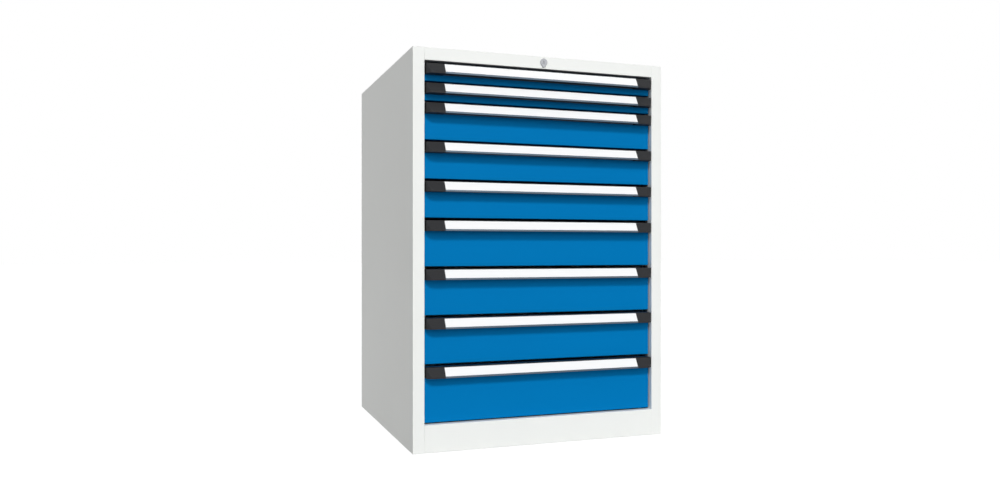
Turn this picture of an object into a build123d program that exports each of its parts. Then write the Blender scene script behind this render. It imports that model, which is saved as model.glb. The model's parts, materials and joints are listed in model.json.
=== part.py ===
from build123d import *
import math
import os

# Multi-drawer workshop cabinet of folded sheet steel, standing on the floor.
# X runs to the right seen from the front, Y to the back, Z up.
# The origin is on the floor under the middle of the whole outline, handles included.
# Sizes are in millimetres.

# Carcass
cabinet_width = 715.0
cabinet_depth = 700.0
stile_width = 30.5
top_rail_height = 32.2
base_height = 71.0
carcass_sheet = 1.5
stile_return = 22.0  # how far the front stile folds back into the cabinet
rail_return = 20.0  # how far the top and base rails fold back
back_flange = 20.0
foot_flange = 25.0
top_flange = 18.0
floor_height = 58.0
floor_flange = 30.0
front_bend = 1.2  # outer radius of the bends round the carcass front

# Drawer grid, from the top drawer down, counted in grid steps
grid_step = 25.0
front_steps = [2, 2, 4, 4, 4, 5, 5, 5, 6]
grid_top_gap = 1.1  # free height over the top drawer
grid_bottom_gap = 2.7  # free height under the lowest drawer

# Drawer front
front_sheet = 1.2
front_recess = 13.0  # from the carcass front back to the drawer front
front_side_gap = 3.2
front_bottom_gap = 1.0
front_depth = 17.0
front_lip = 14.0
front_edge_radius = 1.0

# Handle bar, a label channel on a slope, with a moulded cap at each end
handle_drop = 6.6  # from the top of the drawer's cell down to the bar
handle_height = 27.0
handle_top_reach = 16.5
face_tilt = 30.0
face_length = 26.8
handle_wall = 1.7
handle_flange_height = 26.0
lip_thickness = 3.2
label_height = 25.6
label_recess = 0.9
label_rib = 0.6
handle_nose_radius = 0.9
cap_length = 48.0
cap_corner_radius = 18.0  # of the outer front corner, seen from above
cap_tongue_length = 12.0
cap_tongue_height = 7.0
cap_fit = 0.2

# Drawer tray
tray_sheet = 1.0
tray_lift = 4.0
tray_top_gap = 2.0  # from the top of the front down to the tray's rim
rear_space = 68.0

# Telescopic slides: two channels that face each other and a carriage that runs in both
slide_lift = 5.5
slide_height = 34.0
slide_sheet = 1.5
rail_depth = 8.5
rail_lip = 3.0
carriage_web = 2.2
carriage_height = 22.0
carriage_flange = 1.5
carriage_end_gap = 2.0  # from a carriage flange to the web of the channel it runs in
running_gap = 0.4
cage_gap = 0.3
cage_width = 3.0
cage_end_gap = 6.0
rail_front_gap = 2.0  # from the back of the drawer front to the cabinet rail
rail_overhang = 8.0  # how far the cabinet rail runs on behind the tray

# Slotted posts and the hooks that hang the rails in them
post_width = 30.0
post_end_gap = 4.0
slot_width = 4.0
slot_height = 12.0
hook_thickness = 3.0
hook_play = 0.3
hook_rise = 1.5
hook_lip = 2.0
hook_drop = 3.5

# Central lock
lock_rise = 17.5  # from the bottom of the top rail up to the lock's axis
lock_hole_radius = 9.0
lock_flat = 7.5  # from the lock's axis to each of the two flats of its hole
lock_fit = 0.15
rosette_radius = 10.0
rosette_tip_radius = 4.0
rosette_tip_drop = 10.0  # from the lock's axis down to the middle of the rosette's tip
rosette_thickness = 2.4
lock_body_length = 24.0
lock_nut_radius = 13.0
lock_nut_thickness = 4.0
plug_radius = 6.0
plug_running_fit = 0.05
keyway_width = 1.4
keyway_length = 8.0
keyway_depth = 6.0
shaft_radius = 4.0
crank_half_width = 4.5
crank_thickness = 3.0
pin_radius = 2.5
pin_edge = 1.5  # metal of the crank left round its pin
lock_turn = 90.0
lock_travel = 10.0
pin_play = 0.4
lock_bar_width = 30.0
lock_bar_thickness = 3.0
lock_bar_gap = 30.0  # from the back of the tray to the bar
lock_bar_foot_gap = 20.0
lock_bar_head = 3.0  # metal left over the slot for the crank pin
finger_sheet = 3.0
finger_width = 20.0
finger_foot = 12.0
catch_sheet = 1.5
catch_width = 40.0
catch_reach = 14.0
catch_drop = 10.0
catch_clearance = 2.0
guide_sheet = 1.5
guide_height = 30.0
guide_foot = 18.0
guide_play = 0.3
guided_cells = [2, 8]  # the bar is guided under the fingers of these cells
bracket_setback = 6.0
bracket_drop = 12.0
bracket_half_width = 12.0

cut_margin = 1.0  # how far a cutting solid runs past the sheet that it cuts

# Places worked out from the sizes above
half_width = cabinet_width / 2
opening_half = half_width - stile_width
nose_reach = handle_top_reach + face_length * math.sin(math.radians(face_tilt)) - front_recess
front_plane = (nose_reach - cabinet_depth) / 2
back_plane = front_plane + cabinet_depth
grid_height = grid_step * sum(front_steps)
opening_top = base_height + grid_bottom_gap + grid_height + grid_top_gap
cabinet_height = opening_top + top_rail_height
inside_half = half_width - carcass_sheet
inside_front = front_plane + carcass_sheet
back_panel_front = back_plane - 2 * carcass_sheet

front_face = front_plane + front_recess
front_half = opening_half - front_side_gap
tray_front = front_face + front_depth
tray_back = back_plane - rear_space

slide_space = 2 * rail_depth + carriage_web + 2 * running_gap
tray_half = opening_half - slide_space
rail_front = tray_front + rail_front_gap
rail_back = tray_back + rail_overhang
slide_axis = slide_lift + slide_height / 2  # over the bottom of the cell, and so is a post's slot

lock_level = opening_top + lock_rise
pin_offset = lock_travel / (2 * math.sin(math.radians(lock_turn / 2)))
lock_bar_front = tray_back + lock_bar_gap
crank_back = lock_bar_front - running_gap
crank_front = crank_back - crank_thickness
lock_body_back = front_plane + lock_body_length


def cells():
    # bottom and height of each drawer's cell, from the top drawer down
    top = opening_top - grid_top_gap
    out = []
    for steps in front_steps:
        height = steps * grid_step
        out.append((top - height, height))
        top -= height
    return out


def folded_outline(points, sheet):
    # the closed outline of a sheet folded along points, with its thickness on the left
    def normal(start, end):
        dx, dy = end[0] - start[0], end[1] - start[1]
        length = math.hypot(dx, dy)
        return -dy / length, dx / length

    normals = [normal(a, b) for a, b in zip(points, points[1:])]
    inner = []
    for i, (x, y) in enumerate(points):
        before = normals[max(i - 1, 0)]
        after = normals[min(i, len(normals) - 1)]
        share = sheet / (1 + before[0] * after[0] + before[1] * after[1])
        inner.append((x + (before[0] + after[0]) * share, y + (before[1] + after[1]) * share))
    return list(points) + inner[::-1]


def along_x(outline, start, end):
    # outline in (y, z), extruded from x = start to x = end
    plane = Plane(origin=(start, 0, 0), x_dir=(0, 1, 0), z_dir=(1, 0, 0))
    return extrude(plane * make_face(Polyline(*outline, close=True)), end - start)


def along_y(outline, start, end):
    # outline in (x, z), extruded from y = start to y = end
    plane = Plane(origin=(0, start, 0), x_dir=(1, 0, 0), z_dir=(0, -1, 0))
    return extrude(plane * make_face(Polyline(*outline, close=True)), -(end - start))


def along_z(outline, start, end):
    # outline in (x, y), extruded from z = start to z = end
    return extrude(Pos(0, 0, start) * make_face(Polyline(*outline, close=True)), end - start)


def block(low, high):
    size = [b - a for a, b in zip(low, high)]
    return Pos(*low) * Box(*size, align=(Align.MIN, Align.MIN, Align.MIN))


def rod_y(radius, x, z, start, end):
    # a round rod along Y
    return Pos(x, (start + end) / 2, z) * Rot(90, 0, 0) * Cylinder(radius, end - start)


def lock_rod(clearance, start, end):
    # round with a flat above and below, so that the lock can't turn in its hole
    rod = rod_y(lock_hole_radius - clearance, 0, lock_level, start, end)
    flat = lock_flat - clearance
    return rod & block(
        (-lock_hole_radius, start, lock_level - flat),
        (lock_hole_radius, end, lock_level + flat),
    )


def mirrored(part):
    return mirror(part, about=Plane.YZ)


# Carcass

def side_panel():
    # right side: stile, outer wall and back flange folded from one sheet
    wall = folded_outline(
        [
            (half_width - back_flange, back_plane),
            (half_width, back_plane),
            (half_width, front_plane),
            (opening_half, front_plane),
            (opening_half, front_plane + stile_return),
        ][::-1],
        carcass_sheet,
    )
    panel = along_z(wall, 0, cabinet_height)
    # the stile's return is notched where the top and base rails meet it
    notch_front = inside_front
    notch_back = front_plane + stile_return
    for low, high in ((0, base_height), (opening_top, cabinet_height)):
        panel -= block((opening_half, notch_front, low), (opening_half + carcass_sheet, notch_back, high))
    foot = block(
        (inside_half - foot_flange, inside_front, 0),
        (inside_half, back_panel_front, carcass_sheet),
    )
    panel += foot
    bends = panel.edges().filter_by(Axis.Z).group_by(Axis.Y)[0]
    return fillet(bends, front_bend)


def back_panel():
    return block(
        (-inside_half, back_panel_front, 0),
        (inside_half, back_plane - carcass_sheet, cabinet_height),
    )


def flanged_pan(level, flange):
    # a flat sheet with a flange turned down along each edge
    low = (-inside_half, inside_front, level - flange)
    high = (inside_half, back_panel_front, level)
    pan = block(low, high)
    return offset(pan, -carcass_sheet, openings=pan.faces().sort_by(Axis.Z)[0])


def top_panel():
    hole = lock_rod(0, front_plane, inside_front + carcass_sheet + cut_margin)
    return flanged_pan(cabinet_height, top_flange) - hole


def floor_panel():
    return flanged_pan(floor_height, floor_flange)


def top_front_rail():
    # an angle with its leg turned back over the top drawer
    outline = folded_outline(
        [
            (front_plane + rail_return, opening_top),
            (front_plane, opening_top),
            (front_plane, cabinet_height),
        ][::-1],
        carcass_sheet,
    )
    rail = along_x(outline, -opening_half, opening_half)
    bend = rail.edges().filter_by(Axis.X).group_by(Axis.Y)[0].sort_by(Axis.Z)[0]
    rail = fillet(bend, front_bend)
    hole = lock_rod(0, front_plane - cut_margin, inside_front + cut_margin)
    return rail - hole


def base_front_rail():
    # a channel with both legs turned back
    outline = folded_outline(
        [
            (front_plane + rail_return, base_height),
            (front_plane, base_height),
            (front_plane, 0),
            (front_plane + rail_return, 0),
        ],
        carcass_sheet,
    )
    rail = along_x(outline, -opening_half, opening_half)
    bends = rail.edges().filter_by(Axis.X).group_by(Axis.Y)[0]
    return fillet(bends, front_bend)


def post(center):
    # right side: a channel with a column of slots, its legs against the side panel
    front, back = center - post_width / 2, center + post_width / 2
    outline = folded_outline(
        [
            (inside_half, front),
            (opening_half, front),
            (opening_half, back),
            (inside_half, back),
        ][::-1],
        carcass_sheet,
    )
    column = along_z(outline, floor_height, opening_top + post_end_gap)
    left, right = opening_half - cut_margin, opening_half + carcass_sheet + cut_margin
    slot_front, slot_back = center - slot_width / 2, center + slot_width / 2
    first = base_height + grid_bottom_gap + slide_axis - slot_height / 2
    levels = [first + i * grid_step for i in range(sum(front_steps))]
    return column - [block((left, slot_front, z), (right, slot_back, z + slot_height)) for z in levels]


def post_centers():
    return [rail_front + post_width / 2, rail_back - post_width / 2]


# Slides

def channel(web, mouth, low):
    # outline in (x, z) of a rail with its web at one side and two lips at its mouth
    high = low + slide_height
    points = [
        (mouth, low + rail_lip),
        (mouth, low),
        (web, low),
        (web, high),
        (mouth, high),
        (mouth, high - rail_lip),
    ]
    if web < mouth:
        points = points[::-1]
    return folded_outline(points, slide_sheet)


def rail_hook(center, axis):
    # the tongue that passes through a post's slot and hangs behind its web
    seat = axis - slot_height / 2 + hook_play
    back = opening_half + carcass_sheet + hook_play
    top = axis + hook_rise
    outline = [
        (opening_half, seat),
        (back, seat),
        (back, seat - hook_drop),
        (back + hook_lip, seat - hook_drop),
        (back + hook_lip, top),
        (opening_half, top),
    ]
    return along_y(outline, center - hook_thickness / 2, center + hook_thickness / 2)


def cabinet_rail(low):
    outline = channel(opening_half, opening_half - rail_depth, low + slide_lift)
    rail = along_y(outline, rail_front, rail_back)
    return rail + [rail_hook(center, low + slide_axis) for center in post_centers()]


def carriage(low):
    # a beam between the two channels; its ball cages run in the cabinet rail at the rear
    # and in the drawer's rail at the front, so that both stay engaged at full travel
    axis = low + slide_axis
    inner_web = tray_half + rail_depth + running_gap
    outer_web = inner_web + carriage_web
    inner = tray_half + slide_sheet + carriage_end_gap
    outer = opening_half - slide_sheet - carriage_end_gap
    half = carriage_height / 2
    neck = half - carriage_flange
    beam = [
        (inner, axis + half),
        (outer, axis + half),
        (outer, axis + neck),
        (outer_web, axis + neck),
        (outer_web, axis - neck),
        (outer, axis - neck),
        (outer, axis - half),
        (inner, axis - half),
        (inner, axis - neck),
        (inner_web, axis - neck),
        (inner_web, axis + neck),
        (inner, axis + neck),
    ]
    member = along_y(beam, rail_front, tray_back)
    middle = (rail_front + tray_back) / 2
    race = slide_height / 2 - slide_sheet - cage_gap
    front_cage = (inner, inner + cage_width, rail_front + cage_end_gap, middle - cage_end_gap)
    rear_cage = (outer - cage_width, outer, middle + cage_end_gap, tray_back - cage_end_gap)
    for left, right, start, end in (front_cage, rear_cage):
        member += block((left, start, axis + half), (right, end, axis + race))
        member += block((left, start, axis - race), (right, end, axis - half))
    return member


# Drawers

def tray_rim(low, height):
    return low + height - handle_drop - tray_top_gap


def tray(low, height):
    # an open box of folded sheet
    rim = tray_rim(low, height)
    shell = block((-tray_half, tray_front, low + tray_lift), (tray_half, tray_back, rim))
    return offset(shell, -tray_sheet, openings=shell.faces().sort_by(Axis.Z)[-1])


def catch(low, height):
    # a channel, open below, welded to the rear wall just under its rim
    rim = tray_rim(low, height)
    outline = folded_outline(
        [
            (tray_back, rim - catch_drop),
            (tray_back, rim),
            (tray_back + catch_reach, rim),
            (tray_back + catch_reach, rim - catch_drop),
        ][::-1],
        catch_sheet,
    )
    return along_x(outline, -catch_width / 2, catch_width / 2)


def drawer_rail(low):
    return along_y(channel(tray_half, tray_half + rail_depth, low + slide_lift), tray_front, tray_back)


def drawer_front(low, height):
    # a pan of folded sheet: face, four flanges and a lip behind the top and bottom ones
    bottom = low + front_bottom_gap
    top = low + height - handle_drop
    outline = folded_outline(
        [
            (tray_front, top - front_lip),
            (tray_front, top),
            (front_face, top),
            (front_face, bottom),
            (tray_front, bottom),
            (tray_front, bottom + front_lip),
        ],
        front_sheet,
    )
    pan = along_x(outline, -front_half, front_half)
    for side in (-1, 1):
        end = side * front_half
        inner = end - side * front_sheet
        pan += block(
            (min(end, inner), front_face, bottom),
            (max(end, inner), tray_front, top),
        )
    rim = pan.faces().sort_by(Axis.Y)[0].edges()
    return fillet(rim, front_edge_radius)


def slope(distance, depth):
    # a point of the label face: distance down its slope, depth behind its surface
    tilt = math.radians(face_tilt)
    reach = handle_top_reach + distance * math.sin(tilt) - depth * math.cos(tilt)
    drop = distance * math.cos(tilt) + depth * math.sin(tilt)
    return reach, -drop


def placed(points, top):
    # handle points in (reach from the drawer front, height from the bar's top) as (y, z)
    return [(front_face - reach, top + rise) for reach, rise in points]


def handle_bar(top):
    nose = slope(face_length, 0)[0]
    label_end = label_rib + label_height
    inner_top = slope(handle_wall, handle_wall)[0]
    inner_nose = nose - lip_thickness
    profile = [
        (0, 0),
        slope(0, 0),
        slope(label_rib, 0),
        slope(label_rib, label_recess),
        slope(label_end, label_recess),
        slope(label_end, 0),
        slope(face_length, 0),
        (nose, -handle_height),
        (inner_nose, -handle_height),
        (inner_nose, slope(face_length, 0)[1]),
        (inner_top, -handle_wall),
        (handle_wall, -handle_wall),
        (handle_wall, -handle_flange_height),
        (0, -handle_flange_height),
    ]
    half = front_half - cap_length
    bar = along_x(placed(profile, top), -half, half)
    nose_edges = bar.edges().filter_by(Axis.X).group_by(Axis.Y)[0]
    return fillet(nose_edges, handle_nose_radius)


def end_cap(top):
    # right side: a moulding with the bar's outline, its outer front corner rounded as seen from
    # above, and a tongue into the bar
    nose = slope(face_length, 0)[0]
    inner, outer = front_half - cap_length, front_half
    side = [(0, 0), slope(0, 0), slope(face_length, 0), (nose, -handle_height), (0, -handle_height)]
    plan = block((inner, front_face - nose, top - handle_height), (outer, front_face, top))
    corner = plan.edges().filter_by(Axis.Z).sort_by(lambda edge: edge.center().X - edge.center().Y)[-1]
    cap = along_x(placed(side, top), inner, outer) & fillet(corner, cap_corner_radius)
    # what is left of the space behind the bar's label face takes the tongue
    high = handle_wall + cap_fit
    low = high + cap_tongue_height
    reach = slope(handle_wall, handle_wall)[0] - cap_fit
    tongue = [(high, -high), (reach, -high), (reach, -low), (high, -low)]
    return cap + along_x(placed(tongue, top), inner - cap_tongue_length, inner)


# Central lock

def lock_housing():
    # the fixed barrel: a drop-shaped rosette, the body through the rail and the nut that clamps it
    disc = Circle(rosette_radius)
    tip = Pos(0, -rosette_tip_drop) * Circle(rosette_tip_radius)
    face = make_hull(disc.edges() + tip.edges())
    on_rail = Plane(origin=(0, front_plane, lock_level), x_dir=(1, 0, 0), z_dir=(0, -1, 0))
    rosette = extrude(on_rail * face, rosette_thickness)
    body = lock_rod(lock_fit, front_plane, lock_body_back)
    nut_front = inside_front + carcass_sheet
    nut = extrude(
        Plane(origin=(0, nut_front, lock_level), x_dir=(1, 0, 0), z_dir=(0, -1, 0))
        * RegularPolygon(lock_nut_radius, 6),
        -lock_nut_thickness,
    )
    bore = rod_y(plug_radius + plug_running_fit, 0, lock_level, front_plane - rosette_thickness, lock_body_back)
    return rosette + body + nut - bore


def lock_plug():
    # the turning plug, flush with the rosette, with its keyway
    plug = rod_y(plug_radius, 0, lock_level, front_plane - rosette_thickness, lock_body_back)
    keyway = block(
        (-keyway_width / 2, front_plane - rosette_thickness, lock_level - keyway_length / 2),
        (keyway_width / 2, front_plane - rosette_thickness + keyway_depth, lock_level + keyway_length / 2),
    )
    return plug - keyway


def crank_pin():
    # place of the crank's pin with the lock open: half the turn below the level position
    angle = math.radians(lock_turn / 2)
    return pin_offset * math.cos(angle), lock_level - pin_offset * math.sin(angle)


def lock_shaft():
    # runs from the plug to the back, with a crank whose pin lifts the lock bar
    pin_x, pin_z = crank_pin()
    shaft = rod_y(shaft_radius, 0, lock_level, lock_body_back, crank_front)
    arm = block(
        (-crank_half_width, crank_front, -crank_half_width),
        (pin_offset + pin_radius + pin_edge, crank_back, crank_half_width),
    )
    crank = Pos(0, 0, lock_level) * Rot(0, lock_turn / 2, 0) * arm
    pin = rod_y(pin_radius, pin_x, pin_z, crank_back, lock_bar_front + lock_bar_thickness)
    return shaft + crank + pin


def finger_levels(low, height):
    # foot and tip of the lock bar's finger for the drawer in this cell, with the lock open
    tip = tray_rim(low, height) - catch_drop - catch_clearance
    return tip - lock_travel - finger_sheet, tip


def finger(low, height):
    # riveted to the lock bar by its lower leg; its upper leg rises behind the drawer's catch
    foot, tip = finger_levels(low, height)
    upright = tray_back + catch_reach - catch_sheet - catch_clearance - finger_sheet
    outline = folded_outline(
        [
            (upright, tip),
            (upright, foot),
            (lock_bar_front - finger_sheet, foot),
            (lock_bar_front - finger_sheet, foot - finger_foot),
        ],
        finger_sheet,
    )
    return along_x(outline, -finger_width / 2, finger_width / 2)


def lock_bar():
    # a strip that slides up and down at the back; the crank's pin runs in its slot
    half = lock_bar_width / 2
    back = lock_bar_front + lock_bar_thickness
    pin_x, pin_z = crank_pin()
    slot_half = pin_radius + pin_play
    strip = block(
        (-half, lock_bar_front, base_height + lock_bar_foot_gap),
        (half, back, pin_z + slot_half + lock_bar_head),
    )
    return strip - block(
        (pin_x - slot_half, lock_bar_front - cut_margin, pin_z - slot_half),
        (pin_offset + slot_half, back + cut_margin, pin_z + slot_half),
    )


def bar_guide(level):
    # a bracket on the back panel that holds the lock bar from both sides
    half = lock_bar_width / 2 + guide_play
    front = lock_bar_front - guide_play
    outline = folded_outline(
        [
            (half + guide_sheet + guide_foot, back_panel_front),
            (half + guide_sheet, back_panel_front),
            (half + guide_sheet, front - guide_sheet),
            (-half - guide_sheet, front - guide_sheet),
            (-half - guide_sheet, back_panel_front),
            (-half - guide_sheet - guide_foot, back_panel_front),
        ],
        guide_sheet,
    )
    return along_z(outline, level - guide_height / 2, level + guide_height / 2)


def bar_guides():
    feet = [finger_levels(*cells()[i])[0] - finger_foot for i in guided_cells]
    return [bar_guide(foot - guide_height) for foot in feet]


def shaft_bracket():
    # hangs from the top panel and carries the shaft's rear end
    back = crank_front - bracket_setback
    ceiling = cabinet_height - carcass_sheet
    bottom = lock_level - bracket_drop
    outline = folded_outline(
        [
            (back - guide_foot, ceiling),
            (back, ceiling),
            (back, bottom),
        ][::-1],
        guide_sheet,
    )
    plate = along_x(outline, -bracket_half_width, bracket_half_width)
    around = guide_sheet + cut_margin
    return plate - rod_y(shaft_radius + plug_running_fit, 0, lock_level, back - around, back + around)


def both_sides(part):
    return Compound(children=[part, mirrored(part)])


def build():
    right_panel = side_panel()
    right_rails = [cabinet_rail(low) for low, height in cells()]
    right_posts = [post(center) for center in post_centers()]
    parts = {
        "right_side_panel": right_panel,
        "left_side_panel": mirrored(right_panel),
        "back_panel": back_panel(),
        "top_panel": top_panel(),
        "floor_panel": floor_panel(),
        "top_front_rail": top_front_rail(),
        "base_front_rail": base_front_rail(),
        "slotted_posts": Compound(children=right_posts + [mirrored(p) for p in right_posts]),
        "right_cabinet_rails": Compound(children=right_rails),
        "left_cabinet_rails": Compound(children=[mirrored(r) for r in right_rails]),
        "lock_housing": lock_housing(),
        "lock_plug": lock_plug(),
        "lock_shaft": lock_shaft(),
        "lock_bar": Compound(children=[lock_bar()] + [finger(low, height) for low, height in cells()]),
        "lock_brackets": Compound(children=bar_guides() + [shaft_bracket()]),
    }
    for number, (low, height) in enumerate(cells(), start=1):
        name = f"drawer_{number}"
        top = low + height - handle_drop
        rail = drawer_rail(low)
        parts[name + "_tray"] = Compound(children=[tray(low, height), catch(low, height), rail, mirrored(rail)])
        parts[name + "_front"] = drawer_front(low, height)
        parts[name + "_handle"] = handle_bar(top)
        parts[name + "_end_caps"] = both_sides(end_cap(top))
        parts[f"runner_{number}"] = both_sides(carriage(low))
    return parts


if __name__ == "__main__":
    os.makedirs("parts", exist_ok=True)
    for node, shape in build().items():
        export_step(shape, f"parts/{node}.step")
        print(node, len(shape.solids()))
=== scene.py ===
import bpy
import json
import math
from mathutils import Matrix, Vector


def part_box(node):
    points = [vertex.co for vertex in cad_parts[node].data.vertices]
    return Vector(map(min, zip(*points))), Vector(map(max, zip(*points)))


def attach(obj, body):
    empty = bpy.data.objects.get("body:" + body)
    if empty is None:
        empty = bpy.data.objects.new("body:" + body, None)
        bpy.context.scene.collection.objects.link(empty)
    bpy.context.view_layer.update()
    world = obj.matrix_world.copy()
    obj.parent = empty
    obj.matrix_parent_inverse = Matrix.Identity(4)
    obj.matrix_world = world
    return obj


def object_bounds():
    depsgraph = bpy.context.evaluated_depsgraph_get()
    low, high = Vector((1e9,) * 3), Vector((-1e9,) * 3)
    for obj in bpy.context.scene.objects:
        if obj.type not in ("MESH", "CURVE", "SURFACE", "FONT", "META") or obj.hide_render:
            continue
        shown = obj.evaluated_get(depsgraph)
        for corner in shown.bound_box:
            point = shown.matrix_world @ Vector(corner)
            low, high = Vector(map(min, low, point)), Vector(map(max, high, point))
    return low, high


# Workshop drawer cabinet: looks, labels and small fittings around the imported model.
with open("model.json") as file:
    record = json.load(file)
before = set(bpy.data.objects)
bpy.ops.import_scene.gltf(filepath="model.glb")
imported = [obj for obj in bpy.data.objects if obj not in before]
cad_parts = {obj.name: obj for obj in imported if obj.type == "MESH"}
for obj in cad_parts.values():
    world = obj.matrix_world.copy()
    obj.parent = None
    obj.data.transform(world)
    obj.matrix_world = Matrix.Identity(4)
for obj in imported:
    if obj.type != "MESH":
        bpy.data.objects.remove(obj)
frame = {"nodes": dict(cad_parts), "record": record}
nodes = frame["nodes"]
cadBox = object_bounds()
scene = bpy.context.scene
drawerCount = sum(1 for name in nodes if name.endswith("_tray"))
print("frame loaded:", len(nodes), "nodes,", drawerCount, "drawers")


# Helpers that add shader nodes

noiseMiddle = 0.5


def feed(tree, socket, value):
    # sets the socket to a number or colour, or links it to another socket
    if isinstance(value, (int, float, tuple)):
        socket.default_value = value
    else:
        tree.links.new(value, socket)


def addMath(tree, operation, first, second, clamp=False):
    node = tree.nodes.new("ShaderNodeMath")
    node.operation = operation
    node.use_clamp = clamp
    feed(tree, node.inputs[0], first)
    feed(tree, node.inputs[1], second)
    return node.outputs[0]


def objectPlace(tree):
    return tree.nodes.new("ShaderNodeTexCoord").outputs["Object"]


def addNoise(tree, place, scale, detail, roughness):
    node = tree.nodes.new("ShaderNodeTexNoise")
    tree.links.new(place, node.inputs["Vector"])
    feed(tree, node.inputs["Scale"], scale)
    node.inputs["Detail"].default_value = detail
    node.inputs["Roughness"].default_value = roughness
    return node.outputs["Fac"]


def addBump(tree, height, strength, distance, normal):
    node = tree.nodes.new("ShaderNodeBump")
    node.inputs["Distance"].default_value = distance
    tree.links.new(height, node.inputs["Height"])
    tree.links.new(strength, node.inputs["Strength"])
    tree.links.new(normal, node.inputs["Normal"])
    return node.outputs[0]


def mixColors(tree, factor, first, second):
    node = tree.nodes.new("ShaderNodeMix")
    node.data_type = "RGBA"
    tree.links.new(factor, node.inputs["Factor"])
    # in a colour mix the two colours are sockets 6 and 7, and the result is socket 2
    feed(tree, node.inputs[6], first)
    feed(tree, node.inputs[7], second)
    return node.outputs[2]


def addTint(tree, color, swing):
    # the colour made lighter or darker by the swing
    tint = tree.nodes.new("ShaderNodeHueSaturation")
    tree.links.new(color, tint.inputs["Color"])
    tree.links.new(addMath(tree, "ADD", swing, 1.0), tint.inputs["Value"])
    return tint.outputs[0]


def addGloss(tree, noise, width, roughness):
    # the roughness, changed by the noise within the width
    swing = addMath(tree, "SUBTRACT", noise, noiseMiddle)
    swing = addMath(tree, "MULTIPLY", swing, width)
    return addMath(tree, "ADD", swing, roughness, True)


socketKinds = {"Color": "NodeSocketColor", "Normal": "NodeSocketVector", "Line Scale": "NodeSocketVector"}


def shaderGroup(name, inputs, outputs):
    # a socket is a plain number unless socketKinds says otherwise
    tree = bpy.data.node_groups.new(name, "ShaderNodeTree")
    for way, labels in (("INPUT", inputs), ("OUTPUT", outputs)):
        for label in labels:
            kind = socketKinds.get(label, "NodeSocketFloat")
            tree.interface.new_socket(label, in_out=way, socket_type=kind)
    return tree, tree.nodes.new("NodeGroupInput"), tree.nodes.new("NodeGroupOutput")


# Camera

cameraSetup = {
    "fromFront": 2.0871,  # metres in front of the carcass front
    "side": -0.8740,
    "height": 0.5166,
    "tilt": 90.0,  # degrees from looking straight down, so this one looks level
    "turn": -19.777,  # degrees about Z
    "lens": 30.487,
    "sensor": 36.0,
    "farthest": 100.0,
}


def addCamera():
    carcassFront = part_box("right_side_panel")[0].y
    data = bpy.data.cameras.new("studioCamera")
    data.lens = cameraSetup["lens"]
    data.sensor_width = cameraSetup["sensor"]
    data.clip_end = cameraSetup["farthest"]
    camera = bpy.data.objects.new("studioCamera", data)
    scene.collection.objects.link(camera)
    distance = carcassFront - cameraSetup["fromFront"]
    camera.location = (cameraSetup["side"], distance, cameraSetup["height"])
    camera.rotation_euler = (math.radians(cameraSetup["tilt"]), 0, math.radians(cameraSetup["turn"]))
    scene.camera = camera


# Light and floor

# level: what a white surface square to the lamp shows
lamps = {
    "keyLight": {"direction": (0.21, 0.77, -0.60), "level": 0.52, "angle": 9.0},
    "frontFill": {"direction": (0.05, 0.99, -0.1), "level": 0.505, "angle": 60.0},
    "rearFill": {"direction": (-0.42, -0.86, -0.28), "level": 0.42, "angle": 50.0},
}
studio = {
    "skyColor": (1, 1, 1, 1),
    "ambient": 0.255,  # the sky as a lamp
    "backdrop": 1.0,  # the sky as it is seen
    "floorSize": 60.0,
    "floorGap": 0.0005,
    "floorColor": (0.42, 0.42, 0.42, 1),
    "floorGlow": 0.76,  # brings the lit floor up to the white of the backdrop
}


def addSun(name):
    lamp = lamps[name]
    data = bpy.data.lights.new(name, "SUN")
    data.energy = lamp["level"] * math.pi
    data.angle = math.radians(lamp["angle"])
    sun = bpy.data.objects.new(name, data)
    scene.collection.objects.link(sun)
    sun.rotation_euler = Vector(lamp["direction"]).to_track_quat("-Z", "Y").to_euler()


def seenDirectly(tree):
    # 1 for camera, glossy and transmitted rays, 0 for the rays that light the object
    path = tree.nodes.new("ShaderNodeLightPath")
    mirrored, throughGlass = path.outputs["Is Glossy Ray"], path.outputs["Is Transmission Ray"]
    indirect = addMath(tree, "MAXIMUM", mirrored, throughGlass)
    return addMath(tree, "MAXIMUM", path.outputs["Is Camera Ray"], indirect)


def addWorld():
    world = bpy.data.worlds.new("studioWorld")
    world.use_nodes = True
    tree = world.node_tree
    tree.nodes.clear()
    output = tree.nodes.new("ShaderNodeOutputWorld")
    sky = tree.nodes.new("ShaderNodeBackground")
    sky.inputs["Color"].default_value = studio["skyColor"]
    level = tree.nodes.new("ShaderNodeMapRange")
    level.inputs["To Min"].default_value = studio["ambient"]
    level.inputs["To Max"].default_value = studio["backdrop"]
    tree.links.new(seenDirectly(tree), level.inputs["Value"])
    tree.links.new(level.outputs[0], sky.inputs["Strength"])
    tree.links.new(sky.outputs[0], output.inputs["Surface"])
    scene.world = world


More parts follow.
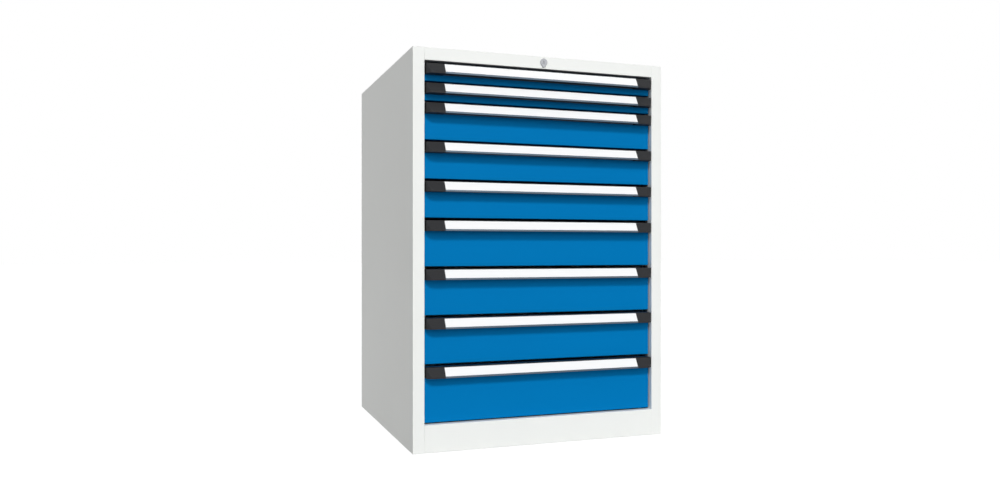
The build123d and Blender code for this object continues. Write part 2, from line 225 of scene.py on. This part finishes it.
def addFloor():
    half = studio["floorSize"] / 2
    level = cadBox[0][2] - studio["floorGap"]
    corners = [(x * half, y * half, level) for x, y in ((-1, -1), (1, -1), (1, 1), (-1, 1))]
    mesh = bpy.data.meshes.new("studioFloor")
    mesh.from_pydata(corners, [], [(0, 1, 2, 3)])
    floor = bpy.data.objects.new("studioFloor", mesh)
    scene.collection.objects.link(floor)
    material = bpy.data.materials.new("studioFloor")
    material.use_nodes = True
    tree = material.node_tree
    tree.nodes.clear()
    output = tree.nodes.new("ShaderNodeOutputMaterial")
    matt = tree.nodes.new("ShaderNodeBsdfDiffuse")
    matt.inputs["Color"].default_value = studio["floorColor"]
    glow = tree.nodes.new("ShaderNodeEmission")
    strength = addMath(tree, "MULTIPLY", seenDirectly(tree), studio["floorGlow"])
    tree.links.new(strength, glow.inputs["Strength"])
    both = tree.nodes.new("ShaderNodeAddShader")
    tree.links.new(matt.outputs[0], both.inputs[0])
    tree.links.new(glow.outputs[0], both.inputs[1])
    tree.links.new(both.outputs[0], output.inputs["Surface"])
    mesh.materials.append(material)


addCamera()
addWorld()
addFloor()
for lampName in lamps:
    addSun(lampName)
scene.view_settings.view_transform = "Standard"
print("studio ready")


# Shader groups shared by the finishes; each noise has its scale, detail and roughness

edgeSetup = {
    "samples": 4,
    "slope": 6.0,  # how fast wear sets in as the surface turns over the edge
    "patches": (38.0, 4.0, 0.65),
    "patchStart": 0.44,  # level of the noise at which a rubbed patch begins
    "patchSlope": 6.0,
}


def makeEdgeGroup():
    # softened normal of a folded or cut edge, and a mask of where hands and tools have rubbed it
    tree, inside, out = shaderGroup("edgeWear", ["Radius", "Amount"], ["Mask", "Normal"])
    bevel = tree.nodes.new("ShaderNodeBevel")
    bevel.samples = edgeSetup["samples"]
    tree.links.new(inside.outputs["Radius"], bevel.inputs["Radius"])
    geometry = tree.nodes.new("ShaderNodeNewGeometry")
    dot = tree.nodes.new("ShaderNodeVectorMath")
    dot.operation = "DOT_PRODUCT"
    tree.links.new(bevel.outputs[0], dot.inputs[0])
    tree.links.new(geometry.outputs["Normal"], dot.inputs[1])
    edge = addMath(tree, "SUBTRACT", 1.0, dot.outputs["Value"])
    edge = addMath(tree, "MULTIPLY", edge, edgeSetup["slope"], True)
    patches = addNoise(tree, objectPlace(tree), *edgeSetup["patches"])
    patches = addMath(tree, "SUBTRACT", patches, edgeSetup["patchStart"])
    patches = addMath(tree, "MULTIPLY", patches, edgeSetup["patchSlope"], True)
    worn = addMath(tree, "MULTIPLY", edge, patches)
    worn = addMath(tree, "MULTIPLY", worn, inside.outputs["Amount"], True)
    tree.links.new(worn, out.inputs["Mask"])
    tree.links.new(bevel.outputs[0], out.inputs["Normal"])
    return tree


powderSetup = {
    "peel": (2.0, 0.6),  # detail and roughness, as each paint has its own scale
    "peelHeight": 0.00012,
    "clouds": (7.0, 3.0, 0.5),
    "glossSwing": 0.16,  # between the glossiest and the dullest cloud
    "glossSpeck": 0.08,
}


def makePowderGroup():
    # fine orange peel of a powder coat, with faint clouding in its colour and gloss
    tree, inside, out = shaderGroup(
        "powderCoat",
        ["Color", "Shade Change", "Roughness", "Peel Scale", "Peel Depth", "Normal"],
        ["Color", "Roughness", "Normal"],
    )
    depth, normal = inside.outputs["Peel Depth"], inside.outputs["Normal"]
    place = objectPlace(tree)
    peel = addNoise(tree, place, inside.outputs["Peel Scale"], *powderSetup["peel"])
    clouds = addNoise(tree, place, *powderSetup["clouds"])
    # the shade changes by as much as asked either way, so by twice that in all
    width = addMath(tree, "MULTIPLY", inside.outputs["Shade Change"], 2.0)
    swing = addMath(tree, "SUBTRACT", clouds, noiseMiddle)
    swing = addMath(tree, "MULTIPLY", swing, width)
    tree.links.new(addTint(tree, inside.outputs["Color"], swing), out.inputs["Color"])
    speck = addMath(tree, "MULTIPLY", peel, powderSetup["glossSpeck"])
    speckled = addMath(tree, "ADD", speck, inside.outputs["Roughness"])
    gloss = addGloss(tree, clouds, powderSetup["glossSwing"], speckled)
    tree.links.new(gloss, out.inputs["Roughness"])
    bump = addBump(tree, peel, depth, powderSetup["peelHeight"], normal)
    tree.links.new(bump, out.inputs["Normal"])
    return tree


drawnSetup = {
    "lines": (1.0, 3.0, 0.6),  # on coordinates that the metal's line scale has stretched
    "lineHeight": 0.00006,
    "patches": (26.0, 4.0, 0.6),
    "glossSwing": 0.2,
}


def makeMetalGroup():
    # drawn or brushed metal: fine lines along one way of the piece, and patches in its plating
    tree, inside, out = shaderGroup(
        "drawnMetal",
        ["Color", "Shade Change", "Roughness", "Line Scale", "Line Depth", "Normal"],
        ["Color", "Roughness", "Normal"],
    )
    depth, normal = inside.outputs["Line Depth"], inside.outputs["Normal"]
    place = objectPlace(tree)
    stretch = tree.nodes.new("ShaderNodeVectorMath")
    stretch.operation = "MULTIPLY"
    tree.links.new(place, stretch.inputs[0])
    tree.links.new(inside.outputs["Line Scale"], stretch.inputs[1])
    lines = addNoise(tree, stretch.outputs[0], *drawnSetup["lines"])
    patches = addNoise(tree, place, *drawnSetup["patches"])
    swing = addMath(tree, "ADD", lines, patches)
    swing = addMath(tree, "SUBTRACT", swing, 2 * noiseMiddle)
    swing = addMath(tree, "MULTIPLY", swing, inside.outputs["Shade Change"])
    tree.links.new(addTint(tree, inside.outputs["Color"], swing), out.inputs["Color"])
    gloss = addGloss(tree, patches, drawnSetup["glossSwing"], inside.outputs["Roughness"])
    tree.links.new(gloss, out.inputs["Roughness"])
    bump = addBump(tree, lines, depth, drawnSetup["lineHeight"], normal)
    tree.links.new(bump, out.inputs["Normal"])
    return tree


mouldSetup = {
    "grainHeight": 0.0001,
    "smudges": (30.0, 3.0, 0.5),
    "glossSwing": 0.2,
}


def makeGrainGroup():
    # spark-eroded grain of a plastic moulding
    tree, inside, out = shaderGroup(
        "mouldGrain",
        ["Grain Scale", "Grain Depth", "Roughness", "Normal"],
        ["Grain", "Roughness", "Normal"],
    )
    depth, normal = inside.outputs["Grain Depth"], inside.outputs["Normal"]
    place = objectPlace(tree)
    cells = tree.nodes.new("ShaderNodeTexVoronoi")
    cells.feature = "SMOOTH_F1"
    tree.links.new(place, cells.inputs["Vector"])
    tree.links.new(inside.outputs["Grain Scale"], cells.inputs["Scale"])
    grain = cells.outputs["Distance"]
    smudges = addNoise(tree, place, *mouldSetup["smudges"])
    gloss = addGloss(tree, smudges, mouldSetup["glossSwing"], inside.outputs["Roughness"])
    bump = addBump(tree, grain, depth, mouldSetup["grainHeight"], normal)
    tree.links.new(grain, out.inputs["Grain"])
    tree.links.new(gloss, out.inputs["Roughness"])
    tree.links.new(bump, out.inputs["Normal"])
    return tree


# painted shade: near-black laid in patches on faces that look upwards, standing in for the shadow in the
# gaps above the handles and drawer fronts
topShadeSetup = {
    "color": (0.010, 0.010, 0.011, 1),
    "start": 0.86,  # upward part of the normal at which the painted shade begins
    "slope": 12.0,
    "patches": (22.0, 4.0, 0.6),
    "patchSwing": 0.5,
    "thinnest": 0.72,
    "roughens": 0.5,
}


def makeTopShadeGroup():
    # mask of painted shade, laid in patches on faces that look upwards
    tree, inside, out = shaderGroup("paintedTopShade", ["Amount"], ["Mask"])
    geometry = tree.nodes.new("ShaderNodeNewGeometry")
    split = tree.nodes.new("ShaderNodeSeparateXYZ")
    tree.links.new(geometry.outputs["Normal"], split.inputs[0])
    upward = addMath(tree, "SUBTRACT", split.outputs["Z"], topShadeSetup["start"])
    upward = addMath(tree, "MULTIPLY", upward, topShadeSetup["slope"], True)
    patches = addNoise(tree, objectPlace(tree), *topShadeSetup["patches"])
    patches = addMath(tree, "MULTIPLY", patches, topShadeSetup["patchSwing"])
    patches = addMath(tree, "ADD", patches, topShadeSetup["thinnest"])
    mask = addMath(tree, "MULTIPLY", upward, patches)
    mask = addMath(tree, "MULTIPLY", mask, inside.outputs["Amount"], True)
    tree.links.new(mask, out.inputs["Mask"])
    return tree


edgeWear = makeEdgeGroup()
# painted shade on upward faces
paintedTopShade = makeTopShadeGroup()
powderCoat = makePowderGroup()
drawnMetal = makeMetalGroup()
mouldGrain = makeGrainGroup()
print("shader groups ready")


# Finishes

def startMaterial(name):
    material = bpy.data.materials.new(name)
    material.use_nodes = True
    tree = material.node_tree
    return material, tree, tree.nodes["Principled BSDF"]


def placeGroup(tree, group, values):
    node = tree.nodes.new("ShaderNodeGroup")
    node.node_tree = group
    for label, value in values.items():
        node.inputs[label].default_value = value
    return node


def addPaintedTopShade(tree, amount, color):
    # the colour with painted shade over it, and the mask of that painted shade
    mask = placeGroup(tree, paintedTopShade, {"Amount": amount}).outputs["Mask"]
    return mixColors(tree, mask, color, topShadeSetup["color"]), mask


def roughenUnderPaintedShade(tree, mask, roughness):
    # rougher where the painted shade lies
    added = addMath(tree, "MULTIPLY", mask, topShadeSetup["roughens"])
    return addMath(tree, "ADD", added, roughness, True)


def joinShader(tree, shader, color, roughness, normal, specular):
    tree.links.new(color, shader.inputs["Base Color"])
    tree.links.new(roughness, shader.inputs["Roughness"])
    tree.links.new(normal, shader.inputs["Normal"])
    shader.inputs["Specular IOR Level"].default_value = specular


# the last entry of each finish sets how much painted shade lies on its upward faces
paints = {
    "carcassPaint": {
        "color": (0.862, 0.878, 0.856, 1), "shadeChange": 0.02, "roughness": 0.42,
        "peelScale": 650.0, "peelDepth": 0.22, "edgeRadius": 0.0009, "wear": 0.25,
        "wearColor": (0.78, 0.79, 0.78, 1), "specular": 0.2, "paintedShade": 0.0,
    },
    "frontPaint": {
        "color": (0.0, 0.181, 0.475, 1), "shadeChange": 0.03, "roughness": 0.5,
        "peelScale": 700.0, "peelDepth": 0.2, "edgeRadius": 0.0008, "wear": 0.3,
        "wearColor": (0.02, 0.24, 0.53, 1), "specular": 0.02, "paintedShade": 0.72,
    },
    "trayPaint": {
        "color": (0.60, 0.62, 0.62, 1), "shadeChange": 0.03, "roughness": 0.45,
        "peelScale": 600.0, "peelDepth": 0.22, "edgeRadius": 0.0005, "wear": 0.4,
        "wearColor": (0.50, 0.52, 0.52, 1), "specular": 0.3, "paintedShade": 0.06,
    },
}


def paintMaterial(name):
    look = paints[name]
    material, tree, shader = startMaterial(name)
    edge = placeGroup(tree, edgeWear, {"Radius": look["edgeRadius"], "Amount": look["wear"]})
    coat = placeGroup(tree, powderCoat, {
        "Color": look["color"], "Shade Change": look["shadeChange"], "Roughness": look["roughness"],
        "Peel Scale": look["peelScale"], "Peel Depth": look["peelDepth"],
    })
    tree.links.new(edge.outputs["Normal"], coat.inputs["Normal"])
    color = mixColors(tree, edge.outputs["Mask"], coat.outputs["Color"], look["wearColor"])
    # painted shade over upward faces, such as the top flanges of the fronts
    color, _ = addPaintedTopShade(tree, look["paintedShade"], color)
    joinShader(tree, shader, color, coat.outputs["Roughness"], coat.outputs["Normal"], look["specular"])
    return material


# the last entry of each finish sets how much painted shade lies on its upward faces
metals = {
    "handleAluminium": {
        "color": (0.09, 0.118, 0.148, 1), "shadeChange": 0.1, "roughness": 0.38,
        "lineScale": (3.0, 900.0, 900.0), "lineDepth": 0.2, "edgeRadius": 0.0004, "paintedShade": 0.95,
    },
    "zincSteel": {
        "color": (0.50, 0.515, 0.53, 1), "shadeChange": 0.25, "roughness": 0.34,
        "lineScale": (700.0, 5.0, 700.0), "lineDepth": 0.25, "edgeRadius": 0.0005, "paintedShade": 0.3,
    },
    "lockNickel": {
        "color": (0.24, 0.245, 0.257, 1), "shadeChange": 0.08, "roughness": 0.3,
        "lineScale": (500.0, 500.0, 500.0), "lineDepth": 0.08, "edgeRadius": 0.0006, "paintedShade": 0.1,
    },
}
metalEdges = {
    "wear": 0.6,
    "brighter": 1.35,  # a rubbed edge, against the rest
    "specular": 0.1,
}


def metalMaterial(name):
    look = metals[name]
    material, tree, shader = startMaterial(name)
    edge = placeGroup(tree, edgeWear, {"Radius": look["edgeRadius"], "Amount": metalEdges["wear"]})
    drawn = placeGroup(tree, drawnMetal, {
        "Color": look["color"], "Shade Change": look["shadeChange"], "Roughness": look["roughness"],
        "Line Scale": look["lineScale"], "Line Depth": look["lineDepth"],
    })
    tree.links.new(edge.outputs["Normal"], drawn.inputs["Normal"])
    bright = tuple(min(1.0, metalEdges["brighter"] * part) for part in look["color"][:3]) + (1,)
    color = mixColors(tree, edge.outputs["Mask"], drawn.outputs["Color"], bright)
    # painted shade over upward faces, such as the top of the handle bar
    color, mask = addPaintedTopShade(tree, look["paintedShade"], color)
    gloss = roughenUnderPaintedShade(tree, mask, drawn.outputs["Roughness"])
    # no metal shine under the painted shade
    bare = addMath(tree, "SUBTRACT", 1.0, mask, True)
    tree.links.new(bare, shader.inputs["Metallic"])
    joinShader(tree, shader, color, gloss, drawn.outputs["Normal"], metalEdges["specular"])
    return material


# the last entry of each finish sets how much painted shade lies on its upward faces
plastics = {
    "capPlastic": {
        "low": (0.018, 0.0185, 0.020, 1), "high": (0.027, 0.0275, 0.030, 1), "roughness": 0.48,
        "grainScale": 1100.0, "grainDepth": 0.35, "edgeRadius": 0.0007, "specular": 0.15, "paintedShade": 0.9,
    },
    "labelCard": {
        "low": (0.875, 0.885, 0.89, 1), "high": (0.91, 0.915, 0.92, 1), "roughness": 0.4,
        "grainScale": 1600.0, "grainDepth": 0.08, "edgeRadius": 0.0002, "specular": 0.3, "paintedShade": 0.1,
    },
}


def plasticMaterial(name):
    look = plastics[name]
    material, tree, shader = startMaterial(name)
    edge = placeGroup(tree, edgeWear, {"Radius": look["edgeRadius"]})
    grain = placeGroup(tree, mouldGrain, {
        "Grain Scale": look["grainScale"], "Grain Depth": look["grainDepth"],
        "Roughness": look["roughness"],
    })
    tree.links.new(edge.outputs["Normal"], grain.inputs["Normal"])
    color = mixColors(tree, grain.outputs["Grain"], look["low"], look["high"])
    # painted shade over upward faces, such as the tops of the end caps
    color, mask = addPaintedTopShade(tree, look["paintedShade"], color)
    gloss = roughenUnderPaintedShade(tree, mask, grain.outputs["Roughness"])
    joinShader(tree, shader, color, gloss, grain.outputs["Normal"], look["specular"])
    return material


finishes = {name: paintMaterial(name) for name in paints}
finishes.update({name: metalMaterial(name) for name in metals})
finishes.update({name: plasticMaterial(name) for name in plastics})

finishOfSlot = {
    "carcass_paint": "carcassPaint",
    "front_paint": "frontPaint",
    "handle_aluminium": "handleAluminium",
    "cap_plastic": "capPlastic",
    "tray_steel": "trayPaint",
    "zinc_steel": "zincSteel",
    "lock_metal": "lockNickel",
    "label_paper": "labelCard",
}
for subpart in frame["record"]["subparts"]:
    piece = nodes[subpart["node"]]
    piece.data.materials.clear()
    piece.data.materials.append(finishes[finishOfSlot[subpart["material_slot"]]])


# Label strips, one in the channel of each handle bar

labelSizes = {
    "faceTilt": 30.0,
    "topReach": 0.0165,  # from the drawer front to the top of the label face
    "rib": 0.0006,
    "height": 0.0256,
    "recess": 0.0009,
    "bedGap": 0.00002,  # between the strip and the face behind it
    "upperGap": 0.0002,
    "lowerGap": 0.0010,  # play under the strip, which is pushed up against the upper rib
    "endGap": 0.0006,
    "thickness": 0.0005,
    "crown": 0.00025,
    "steps": 8,
}


def linkMesh(name, points, faces, material):
    mesh = bpy.data.meshes.new(name)
    mesh.from_pydata(points, [], faces)
    mesh.materials.append(material)
    mesh.validate()
    piece = bpy.data.objects.new(name, mesh)
    scene.collection.objects.link(piece)
    return piece


def sweepAlongX(name, outline, start, end, material):
    # outline in (y, z), running clockwise seen from +X, closed with a cap at each end
    count = len(outline)
    points = [(start, y, z) for y, z in outline] + [(end, y, z) for y, z in outline]
    faces = [(i, (i + 1) % count, count + (i + 1) % count, count + i) for i in range(count)]
    faces += [tuple(reversed(range(count))), tuple(range(count, 2 * count))]
    return linkMesh(name, points, faces, material)


def labelPoint(distance, depth, frontFace, top):
    # distance down the sloping face and depth into it, as a point in (y, z)
    tilt = math.radians(labelSizes["faceTilt"])
    reach = labelSizes["topReach"] + distance * math.sin(tilt) - depth * math.cos(tilt)
    drop = distance * math.cos(tilt) + depth * math.sin(tilt)
    return frontFace - reach, top - drop


def addLabel(number):
    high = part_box(f"drawer_{number}_handle")[1]
    half = high.x - labelSizes["endGap"]
    start = labelSizes["rib"] + labelSizes["upperGap"]
    end = labelSizes["rib"] + labelSizes["height"] - labelSizes["lowerGap"]
    back = labelSizes["recess"] - labelSizes["bedGap"]
    outline = []
    for i in range(labelSizes["steps"] + 1):
        share = i / labelSizes["steps"]
        bow = labelSizes["crown"] * (1 - (2 * share - 1) ** 2)
        outline.append((start + share * (end - start), back - labelSizes["thickness"] - bow))
    outline += [(end, back), (start, back)]
    placed = [labelPoint(distance, depth, high.y, high.z) for distance, depth in outline]
    strip = sweepAlongX(f"drawer_{number}_label_strip", placed, -half, half, finishes["labelCard"])
    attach(strip, f"drawer_{number}")


for number in range(1, drawerCount + 1):
    addLabel(number)
print("label strips in place")


# Rivets, screw heads and bearing balls, spread over points by one node tree

def makeHeadTree():
    # puts a ball on each point, flattened to the height and turned
    tree = bpy.data.node_groups.new("headsOnPoints", "GeometryNodeTree")
    tree.interface.new_socket("Geometry", in_out="INPUT", socket_type="NodeSocketGeometry")
    for label, kind in (
        ("Radius", "NodeSocketFloat"), ("Height", "NodeSocketFloat"), ("Segments", "NodeSocketInt"),
        ("Rings", "NodeSocketInt"), ("Turn", "NodeSocketVector"), ("Finish", "NodeSocketMaterial"),
    ):
        tree.interface.new_socket(label, in_out="INPUT", socket_type=kind)
    tree.interface.new_socket("Geometry", in_out="OUTPUT", socket_type="NodeSocketGeometry")
    inside, out = tree.nodes.new("NodeGroupInput"), tree.nodes.new("NodeGroupOutput")
    ball = tree.nodes.new("GeometryNodeMeshUVSphere")
    ball.inputs["Radius"].default_value = 1.0
    tree.links.new(inside.outputs["Segments"], ball.inputs["Segments"])
    tree.links.new(inside.outputs["Rings"], ball.inputs["Rings"])
    scale = tree.nodes.new("ShaderNodeCombineXYZ")
    tree.links.new(inside.outputs["Radius"], scale.inputs["X"])
    tree.links.new(inside.outputs["Radius"], scale.inputs["Y"])
    tree.links.new(inside.outputs["Height"], scale.inputs["Z"])
    spread = tree.nodes.new("GeometryNodeInstanceOnPoints")
    tree.links.new(inside.outputs["Geometry"], spread.inputs["Points"])
    tree.links.new(ball.outputs["Mesh"], spread.inputs["Instance"])
    tree.links.new(inside.outputs["Turn"], spread.inputs["Rotation"])
    tree.links.new(scale.outputs[0], spread.inputs["Scale"])
    real = tree.nodes.new("GeometryNodeRealizeInstances")
    tree.links.new(spread.outputs[0], real.inputs[0])
    finish = tree.nodes.new("GeometryNodeSetMaterial")
    tree.links.new(real.outputs[0], finish.inputs["Geometry"])
    tree.links.new(inside.outputs["Finish"], finish.inputs["Material"])
    tree.links.new(finish.outputs[0], out.inputs[0])
    return tree


headTree = makeHeadTree()
headInputs = [item for item in headTree.interface.items_tree if item.in_out == "INPUT"]
headSockets = {item.name: item.identifier for item in headInputs}


def addHeads(name, points, look, body, slot):
    seeds = bpy.data.meshes.new(name + "_points")
    seeds.from_pydata(points, [], [])
    piece = bpy.data.objects.new(name, seeds)
    scene.collection.objects.link(piece)
    spread = piece.modifiers.new("heads", "NODES")
    spread.node_group = headTree
    for label in ("Radius", "Height", "Segments", "Rings"):
        spread[headSockets[label]] = look[label.lower()]
    spread[headSockets["Turn"]] = tuple(math.radians(angle) for angle in look["turn"])
    spread[headSockets["Finish"]] = finishes[finishOfSlot[slot]]
    solid = bpy.data.meshes.new_from_object(piece.evaluated_get(bpy.context.evaluated_depsgraph_get()))
    piece.modifiers.clear()
    piece.data = solid
    bpy.data.meshes.remove(seeds)
    solid.name = name
    solid.shade_smooth()
    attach(piece, body)
    return len(solid.polygons)


def spaced(start, end, pitch):
    # evenly spaced places from start to end, about one pitch apart
    count = max(1, round((end - start) / pitch))
    return [start + (end - start) * i / count for i in range(count + 1)]


backRivets = {
    "radius": 0.0032, "height": 0.0011, "segments": 16, "rings": 8, "turn": (90, 0, 0),
    "pitch": 0.078, "endGap": 0.045, "underTop": 0.009,
}


def addBackRivets():
    # through the back panel into the flanges of the top and floor panels
    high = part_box("back_panel")[1]
    floorLow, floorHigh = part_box("floor_panel")
    half = high.x - backRivets["endGap"]
    levels = [high.z - backRivets["underTop"], (floorLow.z + floorHigh.z) / 2]
    points = [(x, high.y, z) for z in levels for x in spaced(-half, half, backRivets["pitch"])]
    return addHeads("back_panel_rivets", points, backRivets, "cabinet", "zinc_steel")


ballSetup = {
    "radius": 0.0019, "height": 0.0019, "segments": 8, "rings": 5, "turn": (0, 0, 0),
    "pitch": 0.012, "endGap": 0.011,
    "beamWidth": 0.013,  # over both cages of one carriage
    "fromSide": 0.0015, "fromEdge": 0.0021,  # to the middle of a cage
}


def addBalls(number):
    # in the upper and lower cage of each carriage, at its front on the drawer's side
    # and at its rear on the cabinet's side
    low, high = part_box(f"runner_{number}")
    middle = (low.y + high.y) / 2
    gap = ballSetup["endGap"]
    frontX = high.x - ballSetup["beamWidth"] + ballSetup["fromSide"]
    rearX = high.x - ballSetup["fromSide"]
    points = []
    for x, start, end in ((frontX, low.y + gap, middle - gap), (rearX, middle + gap, high.y - gap)):
        for y in spaced(start, end, ballSetup["pitch"]):
            for z in (low.z + ballSetup["fromEdge"], high.z - ballSetup["fromEdge"]):
                points += [(x, y, z), (-x, y, z)]
    return addHeads(f"runner_{number}_balls", points, ballSetup, f"runner_{number}", "zinc_steel")


fingerRivets = {
    "radius": 0.0022, "height": 0.0009, "segments": 12, "rings": 6, "turn": (90, 0, 0),
    "apart": 0.010, "underRim": 0.0295, "behindCatch": 0.013,
}


def addFingerRivets():
    # two through the lower leg of each finger into the lock bar
    points = []
    for number in range(1, drawerCount + 1):
        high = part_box(f"drawer_{number}_tray")[1]
        for x in (-fingerRivets["apart"] / 2, fingerRivets["apart"] / 2):
            points.append((x, high.y + fingerRivets["behindCatch"], high.z - fingerRivets["underRim"]))
    return addHeads("lock_finger_rivets", points, fingerRivets, "lock_bar", "zinc_steel")


guideScrews = {
    "radius": 0.0034, "height": 0.0016, "segments": 12, "rings": 6, "turn": (90, 0, 0),
    "apart": 0.0516, "underRim": 0.067, "drawers": (3, 9), "upDown": 0.007, "footSheet": 0.0015,
}


def addGuideScrews():
    # two in each foot of the lock bar's guides
    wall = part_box("back_panel")[0].y - guideScrews["footSheet"]
    points = []
    for number in guideScrews["drawers"]:
        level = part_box(f"drawer_{number}_tray")[1].z - guideScrews["underRim"]
        for side in (-1, 1):
            for shift in (-guideScrews["upDown"], guideScrews["upDown"]):
                points.append((side * guideScrews["apart"] / 2, wall, level + shift))
    return addHeads("lock_guide_screws", points, guideScrews, "cabinet", "zinc_steel")


faceCount = addBackRivets() + addFingerRivets() + addGuideScrews()
faceCount += sum(addBalls(number) for number in range(1, drawerCount + 1))
print("rivets, screws and balls in place,", faceCount, "faces")
